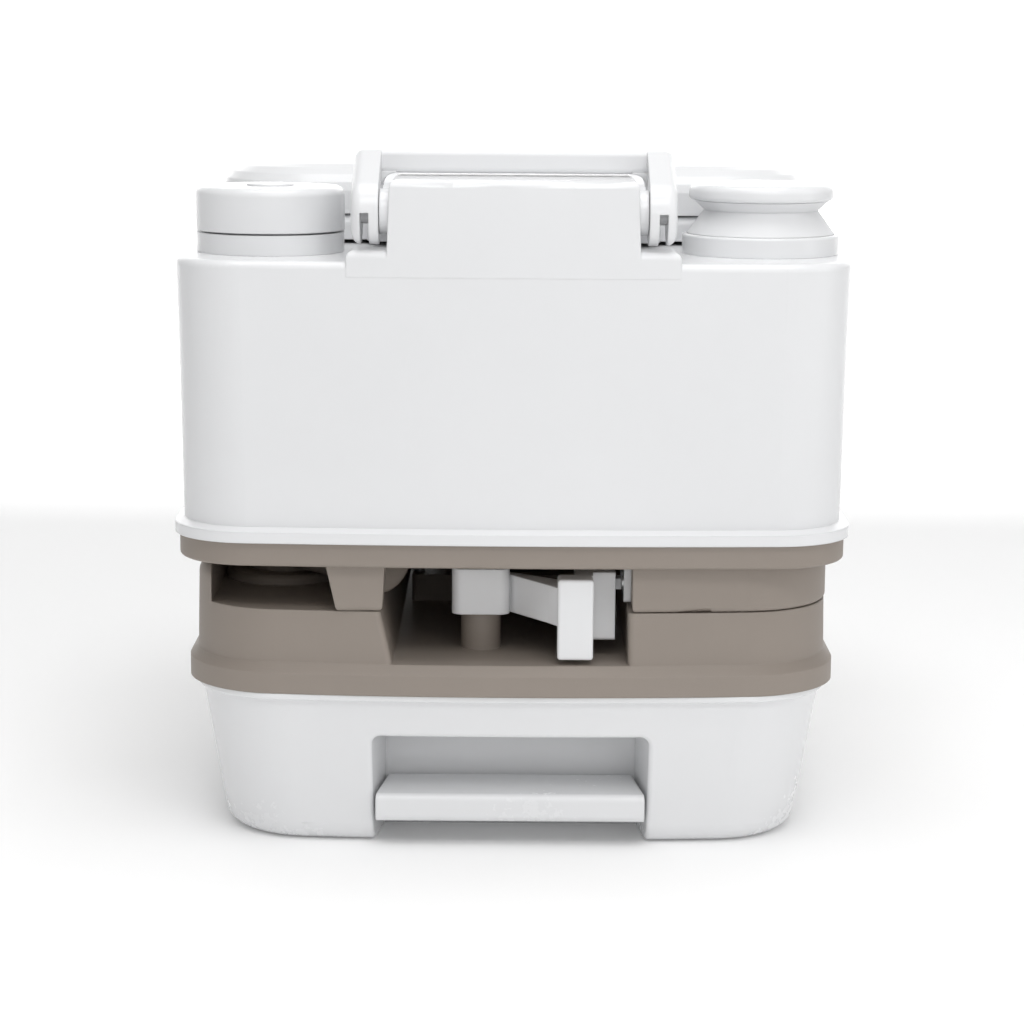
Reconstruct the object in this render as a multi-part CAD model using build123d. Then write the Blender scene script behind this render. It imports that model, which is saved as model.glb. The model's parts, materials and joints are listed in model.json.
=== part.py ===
from build123d import *
import math
import os

# Portable toilet in two tanks. The rear wall faces -Y, the sitter faces +Y, the floor is Z = 0.
# All sizes are in millimetres.

# General clearances and walls
WALL = 3.0
RUNNING = 0.08
GAP = 0.3
SLIP = 1.0

# Waste tank body
TANK_TOP_WIDTH = 346.0
TANK_TOP_LENGTH = 401.0
TANK_FOOT_WIDTH = 319.0
TANK_FOOT_LENGTH = 384.0
TANK_BOW = 9.0
TANK_CORNER = 50.0
TANK_HEIGHT = 86.0
TANK_FOOT_ROUND = 12.0
BEAD_HEIGHT = 3.6
BEAD_PROUD = 2.2

# Hand recess in the rear wall and its grip bar
RECESS_HALF = 75.5
RECESS_TAPER = 0.13
RECESS_HEIGHT = 62.0
RECESS_DEPTH = 42.0
RECESS_ROUND = 5.0
RECESS_MOUTH_ROUND = 2.5
GRIP_SIDE_GAP = 2.2
GRIP_PROUD = 4.0
GRIP_BACK_GAP = 2.5
GRIP_BOTTOM = 13.5
GRIP_HEIGHT = 15.5
GRIP_ROUND = 4.0
GRIP_PIN_SETBACK = 7.0
GRIP_PIN_RADIUS = 3.0
GRIP_PIN_LENGTH = 12.0
PIN_BOSS_RADIUS = 7.0

# Waste tank cover
RIM_WIDTH = 360.0
RIM_LENGTH = 408.0
RIM_BOW = 12.0
RIM_CORNER = 56.0
RIM_HEIGHT = 11.5
LEDGE_RISE = 5.0
SHOULDER_WIDTH = 351.0
SHOULDER_LENGTH = 398.0
SHOULDER_CORNER = 52.0
SHOULDER_DRAFT = 1.0
LOW_SHOULDER = 29.0
TALL_SHOULDER = 49.5
SHOULDER_ROUND = 8.0
CHANNEL_LEFT = -64.5
CHANNEL_RIGHT = 63.5
CHANNEL_LEFT_LEAN = 6.5
STEP_LEFT = -165.0
STEP_FRONT = 12.0
EDGE_ROUND = 3.0
POST_RADIUS = 11.0
POST_HEIGHT = 21.0

# Slide valve
VALVE_Y = 30.0
VALVE_BORE = 42.0
FRAME_HALF = 60.0
FRAME_REAR = -30.0
FRAME_FRONT = 178.0
FRAME_HEIGHT = 16.5
BLADE_HALF = 50.0
BLADE_THICK = 3.0
BLADE_REAR = -20.0
BLADE_LIFT = 7.5
SEAL_WIDTH = 8.0
SEAL_HEIGHT = 5.4
BLADE_SEAL_RISE = 1.6
PULL_HALF = 40.0
PULL_DEPTH = 23.0
PULL_HEIGHT = 27.0
PULL_SLOT_HALF = 28.0
PULL_SLOT_DEPTH = 14.0
PULL_ROUND = 3.0
SCREW_RADIUS = 1.6
SCREW_HEAD_RADIUS = 3.2
SCREW_HEAD_HEIGHT = 2.2
SCREW_DEPTH = 8.0
SCREW_ROWS = (-18.0, 74.0, 166.0)

# Pour spout
SPOUT_X = -131.0
SPOUT_Y = -95.0
SPOUT_ANGLE = -46.0
SPOUT_AXIS_RISE = 23.5
SPOUT_FOOT_RADIUS = 20.0
SPOUT_ARM_RADIUS = 17.5
SPOUT_WALL = 2.8
SPOUT_ARM_LENGTH = 83.0
SPOUT_FLANGE_RADIUS = 24.0
SPOUT_FLANGE_HEIGHT = 2.6
COLLAR_RADIUS = 33.0
COLLAR_HEIGHT = 5.5
SPOUT_SEAL_RADIUS = 23.5
SPOUT_SEAL_HEIGHT = 2.4
SPOUT_CAP_RADIUS = 21.5
SPOUT_CAP_LENGTH = 20.0
SPOUT_CAP_FRONT = 3.0
SPOUT_CAP_FLUTES = 12
FLUTE_RADIUS = 1.2
SPOUT_GASKET = 1.4

# Latch lever
LATCH_X = -17.0
LATCH_Y = -150.0
LATCH_PIN_RADIUS = 4.0
LATCH_PIN_HEAD_RADIUS = 6.5
LATCH_PIN_HEAD_HEIGHT = 2.0
HUB_HALF = 16.0
HUB_HEIGHT = 25.5
HUB_ROUND = 6.0
ARM_HEIGHT = 21.0
ARM_THICK = 5.0
KNOB_LEFT = 25.0
KNOB_RIGHT = 44.5
KNOB_FACE = -198.0
KNOB_DEPTH = 17.0
KNOB_FLOOR_GAP = 3.0
KNOB_TOP = 150.0
KNOB_ROUND = 1.8
HOOK_RIGHT = 57.0
HOOK_FRONT = -176.0
HOOK_BACK = -150.0
HOOK_BOTTOM = 112.0
NOSE_REACH = 3.6
NOSE_HALF = 5.0
NOSE_HEIGHT = 6.0
NOSE_BOTTOM = 139.0
SPRING_WIRE = 0.6
LATCH_SPRING_RADIUS = 6.2
LATCH_SPRING_PITCH = 1.9
LATCH_SPRING_TURNS = 4
SPRING_POCKET_RADIUS = 8.5
SPRING_POCKET_HEIGHT = 10.0
KEEPER_THICK = 4.0
KEEPER_HALF = 15.0
KEEPER_HEIGHT = 22.0
KEEPER_WINDOW_HALF = 7.5
KEEPER_WINDOW_MARGIN = 1.2

# Base pan under the flush tank
PAN_WIDTH = 366.0
PAN_LENGTH = 410.0
PAN_BOW = 7.0
PAN_CORNER = 42.0
PAN_RIM_HEIGHT = 13.0
PAN_RIM_ROUND = 2.0
PAN_SEAT_GAP = 0.2
PAD_REAR = 20.0
FOOT_TOP_LEFT = -100.5
FOOT_TOP_RIGHT = -68.5
FOOT_BOTTOM_LEFT = -94.7
FOOT_BOTTOM_RIGHT = -70.0
FOOT_DEPTH = 23.0
POCKET_RADIUS = 96.0
POCKET_REAR = -177.0
POCKET_RISE = 23.5
OUTLET_HOLE = 50.0

# Flush tank shell
LIP_WIDTH = 371.0
LIP_LENGTH = 415.0
LIP_BOW = 7.0
LIP_CORNER = 44.0
LIP_HEIGHT = 6.0
LIP_COVE = 8.0
SHELL_LOW_WIDTH = 361.0
SHELL_LOW_LENGTH = 403.0
SHELL_TOP_WIDTH = 366.0
SHELL_TOP_LENGTH = 409.0
SHELL_CORNER = 40.0
SHELL_BOW = 7.0
SHELL_HEIGHT = 151.0
DECK_ROUND = 4.0
HUMP_HALF_LOW = 67.5
HUMP_HALF_TOP = 65.5
HUMP_FRONT = -134.0
HUMP_HEIGHT = 43.5
HUMP_ROUND = 4.0
STEP_HALF = 88.5
STEP_BACK_EDGE = -173.0
STEP_RISE = 6.0

# Carry handle
HANDLE_PIVOT_Y = -189.0
HANDLE_PIVOT_RISE = 26.0
HANDLE_DISC_RADIUS = 17.5
HANDLE_HALF = 86.0
FLANGE_THICK = 5.0
FLANGE_SPACE = 4.6
HANDLE_BAR_REAR = -165.0
HANDLE_BAR_DEPTH = 28.0
HANDLE_BAR_GAP = 1.6
HANDLE_BAR_HEIGHT = 12.4
HANDLE_WALL = 3.0
HANDLE_OUTER_ROUND = 5.5
HANDLE_INNER_ROUND = 8.0
HANDLE_PIN_RADIUS = 6.0
HANDLE_BOSS_RADIUS = 12.0
HANDLE_BOSS_INNER = 50.0

# Filler neck and cap
FILL_SIDE_INSET = 48.5
FILL_REAR_INSET = 75.5
FILL_NECK_RADIUS = 41.0
FILL_NECK_HEIGHT = 11.0
FILL_THREAD_RADIUS = 35.0
FILL_BORE = 31.0
FILL_SPIGOT_HEIGHT = 17.0
FILL_CAP_HEIGHT = 24.0
FILL_CAP_TOP = 3.5
FILL_CAP_ROUND = 4.5
FILL_CAP_SEAM = 1.0
FILL_CAP_BOSS_RADIUS = 13.0
FILL_CAP_BOSS_HEIGHT = 1.2
FILL_GASKET = 2.0

# Bellows pump
PUMP_SIDE_INSET = 46.0
PUMP_REAR_INSET = 83.5
PUMP_COLLAR_RADIUS = 43.5
PUMP_COLLAR_HEIGHT = 11.0
PUMP_COLLAR_LIP = 3.5
PUMP_BELLOWS_RADIUS = 41.0
PUMP_WAIST_RADIUS = 31.5
PUMP_WAIST_RISE = 13.0
PUMP_BELLOWS_TOP_RADIUS = 37.5
PUMP_BELLOWS_HEIGHT = 18.5
PUMP_BELLOWS_WALL = 1.6
PUMP_HEAD_RADIUS = 40.0
PUMP_HEAD_HEIGHT = 9.0
PUMP_HEAD_ROUND = 4.5
PUMP_HEAD_DISH = 1.5
PUMP_BASE_RADIUS = 33.0
PUMP_BASE_HEIGHT = 5.0
PUMP_HOLE = 27.0
PUMP_SPRING_RADIUS = 24.0
PUMP_SPRING_WIRE = 0.8
PUMP_SPRING_TURNS = 5
SUCTION_RADIUS = 6.0
SUCTION_OFFSET = 12.0
SUCTION_FLOOR_GAP = 8.0
VALVE_DISC_RADIUS = 8.0
VALVE_DISC_HEIGHT = 1.2
HOSE_RADIUS = 5.0
HOSE_DROP = 14.0
HOSE_BEND = 12.0
NOZZLE_RADIUS = 8.0
NOZZLE_LENGTH = 12.0

# Bowl
BOWL_Y = 52.0
BOWL_HALF_WIDTH = 112.0
BOWL_HALF_LENGTH = 125.0
BOWL_MID_HALF_WIDTH = 88.0
BOWL_MID_HALF_LENGTH = 100.0
BOWL_MID_Y = 44.0
BOWL_MID_DROP = 85.0
BOWL_NECK_DROP = 155.0
BOWL_FLANGE_WIDTH = 9.0
BOWL_FLANGE_HEIGHT = 2.0
OUTLET_RADIUS = 45.0
GASKET_HEIGHT = 4.0
GASKET_WIDTH = 7.0

# Seat and lid
SEAT_HALF_WIDTH = 172.0
SEAT_REAR = -72.0
SEAT_FRONT = 203.0
SEAT_REAR_CORNER = 62.0
SEAT_FRONT_CORNER = 130.0
SEAT_LIFT = 2.3
SEAT_THICK = 14.0
SEAT_ROUND = 5.0
SEAT_HOLE_HALF_WIDTH = 98.0
SEAT_HOLE_HALF_LENGTH = 112.0
TONGUE_HALF = 84.0
TONGUE_REAR = -88.0
LID_GAP = 0.7
LID_SIDE = 13.0
LID_CROWN = 28.5
LID_TOP_INSET = 26.0
LID_CROWN_STEPS = 5
HINGE_Y = -100.0
HINGE_X = 62.0
BRACKET_HALF = 6.0
BRACKET_RADIUS = 8.0
HINGE_PIN_RADIUS = 3.0
HINGE_PIN_HALF = 19.0
LUG_RADIUS = 7.0
LUG_WIDTH = 11.0
BUFFER_RADIUS = 7.0

# Heights that follow from the sizes above
RIM_TOP = TANK_HEIGHT + RIM_HEIGHT
FLOOR_Z = RIM_TOP + LEDGE_RISE
LOW_Z = FLOOR_Z + LOW_SHOULDER
TALL_Z = FLOOR_Z + TALL_SHOULDER
PAN_BOTTOM = TALL_Z + 5.0
PAN_TOP = PAN_BOTTOM + PAN_RIM_HEIGHT
DECK_Z = PAN_TOP + SHELL_HEIGHT
HUMP_TOP = DECK_Z + HUMP_HEIGHT
PIVOT_Z = DECK_Z + HANDLE_PIVOT_RISE
FILL_X = FILL_SIDE_INSET - SHELL_TOP_WIDTH / 2
FILL_Y = FILL_REAR_INSET - SHELL_TOP_LENGTH / 2
PUMP_X = SHELL_TOP_WIDTH / 2 - PUMP_SIDE_INSET
PUMP_Y = PUMP_REAR_INSET - SHELL_TOP_LENGTH / 2
RECESS_BACK = RECESS_DEPTH - TANK_FOOT_LENGTH / 2
GRIP_FRONT = -TANK_FOOT_LENGTH / 2 - GRIP_PROUD
SPOUT_AXIS_Z = LOW_Z + SPOUT_AXIS_RISE
SEAT_Z = DECK_Z + SEAT_LIFT
LID_Z = SEAT_Z + SEAT_THICK + LID_GAP
HINGE_Z = LID_Z - LID_GAP / 2
GRIP_PIN_Y = RECESS_BACK - GRIP_PIN_SETBACK
GRIP_PIN_Z = GRIP_BOTTOM + GRIP_HEIGHT / 2
HUB_Z = FLOOR_Z + POST_HEIGHT + GAP
FAR = 600.0


def plan(width, length, bow, corner):
    """A rounded rectangle whose front and rear edges bow outwards."""
    x = width / 2
    y = length / 2
    rear = ThreePointArc((-x, bow - y), (0, -y), (x, bow - y))
    right = Line((x, bow - y), (x, y - bow))
    front = ThreePointArc((x, y - bow), (0, y), (-x, y - bow))
    left = Line((-x, y - bow), (-x, bow - y))
    face = make_face([rear, right, front, left])
    return fillet(face.vertices(), corner)


def prism(shape, low, high):
    """A plan drawn at Z = 0, pulled up from one height to another."""
    return extrude(Pos(0, 0, low) * shape, high - low)


def between(low_plan, low, high_plan, high):
    """A straight-sided solid from one plan to another."""
    return loft([Pos(0, 0, low) * low_plan, Pos(0, 0, high) * high_plan], ruled=True)


def block(x0, x1, y0, y1, z0, z1):
    """A box from its two corners."""
    return Pos((x0 + x1) / 2, (y0 + y1) / 2, (z0 + z1) / 2) * Box(x1 - x0, y1 - y0, z1 - z0)


def rod(x, y, radius, low, high):
    """An upright cylinder."""
    return Pos(x, y, (low + high) / 2) * Cylinder(radius, high - low)


def cross_rod(y, z, radius, x0, x1):
    """A cylinder along X."""
    return Pos((x0 + x1) / 2, y, z) * Rot(0, 90, 0) * Cylinder(radius, x1 - x0)


def ring(x, y, outer, inner, low, high):
    """An upright tube."""
    return rod(x, y, outer, low, high) - rod(x, y, inner, low - SLIP, high + SLIP)


def turned(points, x, y, z):
    """A profile of radius and height points, turned about an upright axis."""
    profile = Plane.XZ * make_face(Polyline(*points, close=True))
    return Pos(x, y, z) * revolve(profile, Axis.Z)


def ellipse(half_width, half_length, y, z):
    """A level ellipse on the centre line."""
    return Pos(0, y, z) * Ellipse(half_width, half_length)


def both_sides(shape):
    """A shape and its mirror image across the centre plane."""
    return [shape, mirror(shape, Plane.YZ)]


def recess_block(grow):
    """The hand recess: narrower towards its back wall, open below and to the rear."""
    mouth_y = -max(LIP_LENGTH, TANK_FOOT_LENGTH + 2 * WALL) / 2
    back_y = RECESS_BACK + grow
    wall_y = -TANK_FOOT_LENGTH / 2
    mouth = RECESS_HALF + grow + (wall_y - mouth_y) * RECESS_TAPER
    back = RECESS_HALF + grow - (back_y - wall_y) * RECESS_TAPER
    corners = [(-mouth, mouth_y), (mouth, mouth_y), (back, back_y), (-back, back_y)]
    shape = make_face(Polyline(*corners, close=True))
    solid = prism(shape, -SLIP, RECESS_HEIGHT + grow)
    long_edges = solid.edges().group_by(Axis.Z)[-1].filter_by(Axis.X, reverse=True)
    return fillet(long_edges, RECESS_ROUND + grow)


def tank_body_form(grow, low):
    """The waste tank's tapering walls with a well rounded foot."""
    foot = plan(TANK_FOOT_WIDTH + 2 * grow, TANK_FOOT_LENGTH + 2 * grow, TANK_BOW, TANK_CORNER + grow)
    top = plan(TANK_TOP_WIDTH + 2 * grow, TANK_TOP_LENGTH + 2 * grow, TANK_BOW, TANK_CORNER + grow)
    form = between(foot, low, top, TANK_HEIGHT)
    return fillet(form.edges().group_by(Axis.Z)[0], TANK_FOOT_ROUND + grow)


def waste_tank_body():
    """Thin-walled tub with a bead along its top edge and blind bosses for the grip's pins."""
    outer = tank_body_form(0, 0)
    inner = tank_body_form(-WALL, WALL)
    bead_plan = plan(
        TANK_TOP_WIDTH + 2 * BEAD_PROUD, TANK_TOP_LENGTH + 2 * BEAD_PROUD, TANK_BOW, TANK_CORNER + BEAD_PROUD
    )
    bead = prism(bead_plan, TANK_HEIGHT - BEAD_HEIGHT, TANK_HEIGHT)
    bead = fillet(bead.edges().group_by(Axis.Z)[0], BEAD_PROUD / 2)
    pin_end = RECESS_HALF + GRIP_PIN_LENGTH / 2
    boss = cross_rod(GRIP_PIN_Y, GRIP_PIN_Z, PIN_BOSS_RADIUS, RECESS_HALF - WALL, pin_end)
    inner = inner - recess_block(WALL) - both_sides(boss)
    bore = cross_rod(GRIP_PIN_Y, GRIP_PIN_Z, GRIP_PIN_RADIUS, 0, pin_end - WALL)
    outer = round_recess_mouth(outer - recess_block(0))
    return outer + bead - inner - both_sides(bore)


def round_recess_mouth(wall):
    """Softens the edge where the hand recess meets the rear wall."""
    wall_y = -min(TANK_FOOT_LENGTH, TANK_TOP_LENGTH) / 2
    mouth = wall.edges().filter_by(
        lambda e: e.center().Y < wall_y - SLIP
        and abs(e.center().X) < RECESS_HALF + WALL
        and TANK_FOOT_ROUND < e.center().Z < RECESS_HEIGHT + SLIP
    )
    return fillet(mouth, RECESS_MOUTH_ROUND)


def waste_tank_handle():
    """Channel-section grip bar, open below, on two pins at its back edge."""
    wall_y = -TANK_FOOT_LENGTH / 2
    back_y = RECESS_BACK - GRIP_BACK_GAP
    front_half = RECESS_HALF - GRIP_SIDE_GAP - (GRIP_FRONT - wall_y) * RECESS_TAPER
    back_half = RECESS_HALF - GRIP_SIDE_GAP - (back_y - wall_y) * RECESS_TAPER
    corners = [(-front_half, GRIP_FRONT), (front_half, GRIP_FRONT), (back_half, back_y), (-back_half, back_y)]
    bar = prism(make_face(Polyline(*corners, close=True)), GRIP_BOTTOM, GRIP_BOTTOM + GRIP_HEIGHT)
    front_edges = bar.edges().group_by(Axis.Y)[0].filter_by(Axis.X)
    bar = fillet(front_edges, GRIP_ROUND)
    inside = [
        (WALL - front_half, GRIP_FRONT + WALL),
        (front_half - WALL, GRIP_FRONT + WALL),
        (back_half - WALL, back_y - WALL),
        (WALL - back_half, back_y - WALL),
    ]
    hollow = prism(make_face(Polyline(*inside, close=True)), GRIP_BOTTOM - SLIP, GRIP_BOTTOM + GRIP_HEIGHT - WALL)
    eye = cross_rod(GRIP_PIN_Y, GRIP_PIN_Z, GRIP_PIN_RADIUS + RUNNING, -FAR / 4, FAR / 4)
    return bar - hollow - eye


def tank_handle_pins():
    """One stub pin at each end of the grip bar."""
    end = RECESS_HALF + GRIP_PIN_LENGTH / 2 - WALL
    pin = cross_rod(GRIP_PIN_Y, GRIP_PIN_Z, GRIP_PIN_RADIUS, end - GRIP_PIN_LENGTH - WALL, end)
    return both_sides(pin)


def shoulder_plan(grow):
    """The plan of the cover's shoulders and of the pan's blocks that stand on them."""
    return plan(
        SHOULDER_WIDTH + 2 * grow, SHOULDER_LENGTH + 2 * grow, RIM_BOW, SHOULDER_CORNER + grow
    )


def channel_block(grow, low):
    """The middle channel between the shoulders, with its left wall leaning outwards."""
    left = CHANNEL_LEFT - grow
    right = CHANNEL_RIGHT + grow
    lean = CHANNEL_LEFT_LEAN / LOW_SHOULDER
    top = TALL_Z + 2 * SLIP
    section = [(left, low), (right, low), (right, top), (left - lean * (top - low), top)]
    face = Plane.XZ * make_face(Polyline(*section, close=True))
    return Pos(0, FAR / 2, 0) * extrude(face, FAR)


def waste_tank_cover():
    """Cover of the waste tank: rim, sloping ledge, two shoulders, a channel and a step for the spout."""
    rim = prism(plan(RIM_WIDTH, RIM_LENGTH, RIM_BOW, RIM_CORNER), TANK_HEIGHT, RIM_TOP)
    ledge = between(plan(RIM_WIDTH, RIM_LENGTH, RIM_BOW, RIM_CORNER), RIM_TOP, shoulder_plan(0), FLOOR_Z)
    shoulders = between(shoulder_plan(0), FLOOR_Z, shoulder_plan(-SHOULDER_DRAFT), TALL_Z)
    shoulders = fillet(shoulders.edges().group_by(Axis.Z)[-1], SHOULDER_ROUND)
    step = block(STEP_LEFT, 0, -FAR, STEP_FRONT, LOW_Z, FAR)
    right_top = block(0, FAR, -FAR, FAR, LOW_Z, FAR)
    outer = rim + ledge + shoulders - step - right_top - channel_block(0, FLOOR_Z)
    outer = round_cover_edges(outer)

    under = prism(shoulder_plan(-WALL - SHOULDER_DRAFT), TANK_HEIGHT - SLIP, TALL_Z - WALL)
    under = under - channel_block(WALL, FLOOR_Z - WALL)
    under = under - block(STEP_LEFT - WALL, 0, -FAR, STEP_FRONT + WALL, LOW_Z - WALL, FAR)
    under = under - block(0, FAR, -FAR, FAR, LOW_Z - WALL, FAR)
    post_x = LATCH_X
    post = rod(post_x, LATCH_Y, POST_RADIUS, FLOOR_Z - WALL, FLOOR_Z + POST_HEIGHT)
    post_bore = rod(post_x, LATCH_Y, LATCH_PIN_RADIUS, FLOOR_Z, FAR)
    valve_hole = rod(0, VALVE_Y, VALVE_BORE, 0, FAR)
    spout_hole = rod(SPOUT_X, SPOUT_Y, SPOUT_FOOT_RADIUS + GAP, 0, FAR)
    bosses = [rod(x, y, 2.5 * SCREW_RADIUS, FLOOR_Z - SCREW_DEPTH, FLOOR_Z - SLIP) for x, y in screw_places()]
    holes = [rod(x, y, SCREW_RADIUS, FLOOR_Z - SCREW_DEPTH + SLIP, FAR) for x, y in screw_places()]
    return outer - under + bosses + post - post_bore - valve_hole - spout_hole - holes


def round_cover_edges(cover):
    """Softens the cover's shoulder edges that face the rear."""
    rear = cover.edges().filter_by(lambda e: e.center().Y < -SHOULDER_LENGTH / 2 + SHOULDER_CORNER)
    upright = rear.filter_by(lambda e: e.length > LOW_SHOULDER / 2 and abs(e.center().X) < STEP_HALF)
    upright = upright.filter_by(lambda e: abs(e.center().Z - (FLOOR_Z + LOW_Z) / 2) < SLIP)
    return fillet(upright, EDGE_ROUND)


def screw_places():
    """Where the valve frame is screwed down."""
    inset = FRAME_HALF - SCREW_HEAD_RADIUS - SLIP
    return [(side * inset, y) for side in (-1, 1) for y in SCREW_ROWS]


def valve_frame():
    """Slide valve housing: a flat box with a round passage and a slot for the blade."""
    top = FLOOR_Z + FRAME_HEIGHT
    body = block(-FRAME_HALF, FRAME_HALF, FRAME_REAR, FRAME_FRONT, FLOOR_Z, top)
    body = fillet(body.edges().filter_by(Axis.Z), EDGE_ROUND)
    slot_top = FLOOR_Z + BLADE_LIFT + BLADE_THICK + GAP
    slot_half = BLADE_HALF + GAP
    slot = block(-slot_half, slot_half, BLADE_REAR - SLIP, FAR, FLOOR_Z + BLADE_LIFT - GAP / 2, slot_top)
    passage = rod(0, VALVE_Y, VALVE_BORE, 0, FAR)
    groove = rod(0, VALVE_Y, VALVE_BORE + SEAL_WIDTH / 2, slot_top - SLIP, slot_top + BLADE_SEAL_RISE)
    holes = [rod(x, y, SCREW_RADIUS, 0, FAR) for x, y in screw_places()]
    return body - slot - passage - groove - holes


def valve_blade():
    """Sliding gate plate that closes the waste tank."""
    low = FLOOR_Z + BLADE_LIFT
    plate = block(-BLADE_HALF, BLADE_HALF, BLADE_REAR, pull_back() + WALL, low, low + BLADE_THICK)
    return fillet(plate.edges().filter_by(Axis.Z).group_by(Axis.Y)[0], SEAL_WIDTH)


def pull_back():
    """Y of the pull's back face, just ahead of the valve frame."""
    return FRAME_FRONT + 2 * SLIP


def valve_pull():
    """Pull grip on the blade's front end, with a finger slot through it."""
    back = pull_back()
    low = FLOOR_Z + SLIP
    body = block(-BLADE_HALF, BLADE_HALF, back, back + PULL_DEPTH, low, low + PULL_HEIGHT)
    body = fillet(body.edges().filter_by(Axis.Z), 2 * PULL_ROUND)
    body = fillet(body.edges().group_by(Axis.Z)[-1], PULL_ROUND)
    middle = back + PULL_DEPTH / 2
    slot = block(
        -PULL_SLOT_HALF,
        PULL_SLOT_HALF,
        middle - PULL_SLOT_DEPTH / 2 + SLIP,
        middle + PULL_SLOT_DEPTH / 2 + SLIP,
        0,
        FAR,
    )
    slot = fillet(slot.edges().filter_by(Axis.Z), 2 * PULL_ROUND)
    return body - slot - valve_blade()


def valve_screws():
    """Pan-head screws that hold the valve frame down."""
    top = FLOOR_Z + FRAME_HEIGHT
    low = FLOOR_Z - SCREW_DEPTH + SLIP
    return [
        rod(x, y, SCREW_RADIUS, low, top) + rod(x, y, SCREW_HEAD_RADIUS, top, top + SCREW_HEAD_HEIGHT)
        for x, y in screw_places()
    ]


def valve_seal():
    """Rubber ring between the valve frame and the bowl's outlet, with a narrower lip."""
    low = FLOOR_Z + FRAME_HEIGHT
    points = [
        (VALVE_BORE, 0),
        (VALVE_BORE + SEAL_WIDTH, 0),
        (VALVE_BORE + SEAL_WIDTH, SEAL_HEIGHT / 2),
        (VALVE_BORE + SEAL_WIDTH / 2, SEAL_HEIGHT),
        (VALVE_BORE, SEAL_HEIGHT),
    ]
    return turned(points, 0, VALVE_Y, low)


def blade_seal():
    """Rubber ring that wipes the top of the blade."""
    low = FLOOR_Z + BLADE_LIFT + BLADE_THICK + GAP / 2
    high = FLOOR_Z + BLADE_LIFT + BLADE_THICK + GAP + BLADE_SEAL_RISE
    return ring(0, VALVE_Y, VALVE_BORE + SEAL_WIDTH / 2, VALVE_BORE, low, high)


def at_spout(shape):
    """Places a shape drawn along +X from the spout's swivel centre."""
    return Pos(SPOUT_X, SPOUT_Y, SPOUT_AXIS_Z) * Rot(0, 0, SPOUT_ANGLE) * shape


def along_x(radius, x0, x1):
    """A cylinder along X through the origin's axis."""
    return cross_rod(0, 0, radius, x0, x1)


def spout_collar():
    """Ring on the cover that the spout's foot turns in."""
    top = LOW_Z + COLLAR_HEIGHT
    body = rod(SPOUT_X, SPOUT_Y, COLLAR_RADIUS, LOW_Z, top)
    body = fillet(body.edges().group_by(Axis.Z)[-1], EDGE_ROUND)
    bore = rod(SPOUT_X, SPOUT_Y, SPOUT_FOOT_RADIUS + RUNNING, 0, FAR)
    groove = rod(SPOUT_X, SPOUT_Y, SPOUT_SEAL_RADIUS, 0, LOW_Z + SPOUT_SEAL_HEIGHT)
    return body - bore - groove


def spout_seal():
    """O-ring in the collar's groove."""
    return ring(SPOUT_X, SPOUT_Y, SPOUT_SEAL_RADIUS, SPOUT_FOOT_RADIUS + GAP / 2, LOW_Z, LOW_Z + SPOUT_SEAL_HEIGHT)


def pour_spout():
    """Swivel elbow: an upright foot, a ball at the bend and a level arm."""
    flange_top = LOW_Z - WALL - GAP
    foot_low = flange_top - SPOUT_FLANGE_HEIGHT
    ball = Pos(SPOUT_X, SPOUT_Y, SPOUT_AXIS_Z) * Sphere(SPOUT_FOOT_RADIUS)
    arm = at_spout(along_x(SPOUT_ARM_RADIUS, 0, SPOUT_ARM_LENGTH))
    foot = rod(SPOUT_X, SPOUT_Y, SPOUT_FOOT_RADIUS, foot_low, SPOUT_AXIS_Z)
    flange = rod(SPOUT_X, SPOUT_Y, SPOUT_FLANGE_RADIUS, foot_low, flange_top)
    inner_foot = SPOUT_FOOT_RADIUS - SPOUT_WALL
    bore = rod(SPOUT_X, SPOUT_Y, inner_foot, 0, SPOUT_AXIS_Z)
    inner_ball = Pos(SPOUT_X, SPOUT_Y, SPOUT_AXIS_Z) * Sphere(inner_foot)
    inner_arm = at_spout(along_x(SPOUT_ARM_RADIUS - SPOUT_WALL, 0, FAR))
    stop_ring = at_spout(along_x(SPOUT_ARM_RADIUS + SPOUT_WALL, *stop_ring_span()))
    return ball + arm + foot + flange + stop_ring - bore - inner_ball - inner_arm


def cap_back():
    """How far along the arm the spout cap's open end lies."""
    return SPOUT_ARM_LENGTH + SPOUT_GASKET + SPOUT_CAP_FRONT - SPOUT_CAP_LENGTH


def stop_ring_span():
    """Start and end of the raised ring behind the cap."""
    end = cap_back() - SLIP
    return end - SPOUT_WALL, end


def spout_cap():
    """Fluted screw cap on the spout's end."""
    front = cap_back() + SPOUT_CAP_LENGTH
    body = along_x(SPOUT_CAP_RADIUS, cap_back(), front)
    body = fillet(body.edges().group_by(Axis.X)[-1], EDGE_ROUND)
    inside = along_x(SPOUT_ARM_RADIUS + GAP, cap_back() - SLIP, front - SPOUT_CAP_FRONT)
    flutes = [
        Rot(360 * i / SPOUT_CAP_FLUTES, 0, 0)
        * Pos(0, 0, SPOUT_CAP_RADIUS + FLUTE_RADIUS / 2)
        * along_x(FLUTE_RADIUS, cap_back() - SLIP, front - 2 * SPOUT_CAP_FRONT)
        for i in range(SPOUT_CAP_FLUTES)
    ]
    return at_spout(body - inside - flutes)


def spout_cap_gasket():
    """Rubber disc inside the spout cap."""
    return at_spout(along_x(SPOUT_ARM_RADIUS, SPOUT_ARM_LENGTH + GAP, SPOUT_ARM_LENGTH + SPOUT_GASKET))


def latch_pivot_pin():
    """Headed pin that the latch lever turns on."""
    head_low = HUB_Z + HUB_HEIGHT + GAP
    shank = rod(LATCH_X, LATCH_Y, LATCH_PIN_RADIUS, FLOOR_Z, head_low)
    head = rod(LATCH_X, LATCH_Y, LATCH_PIN_HEAD_RADIUS, head_low, head_low + LATCH_PIN_HEAD_HEIGHT)
    return shank + head


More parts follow.
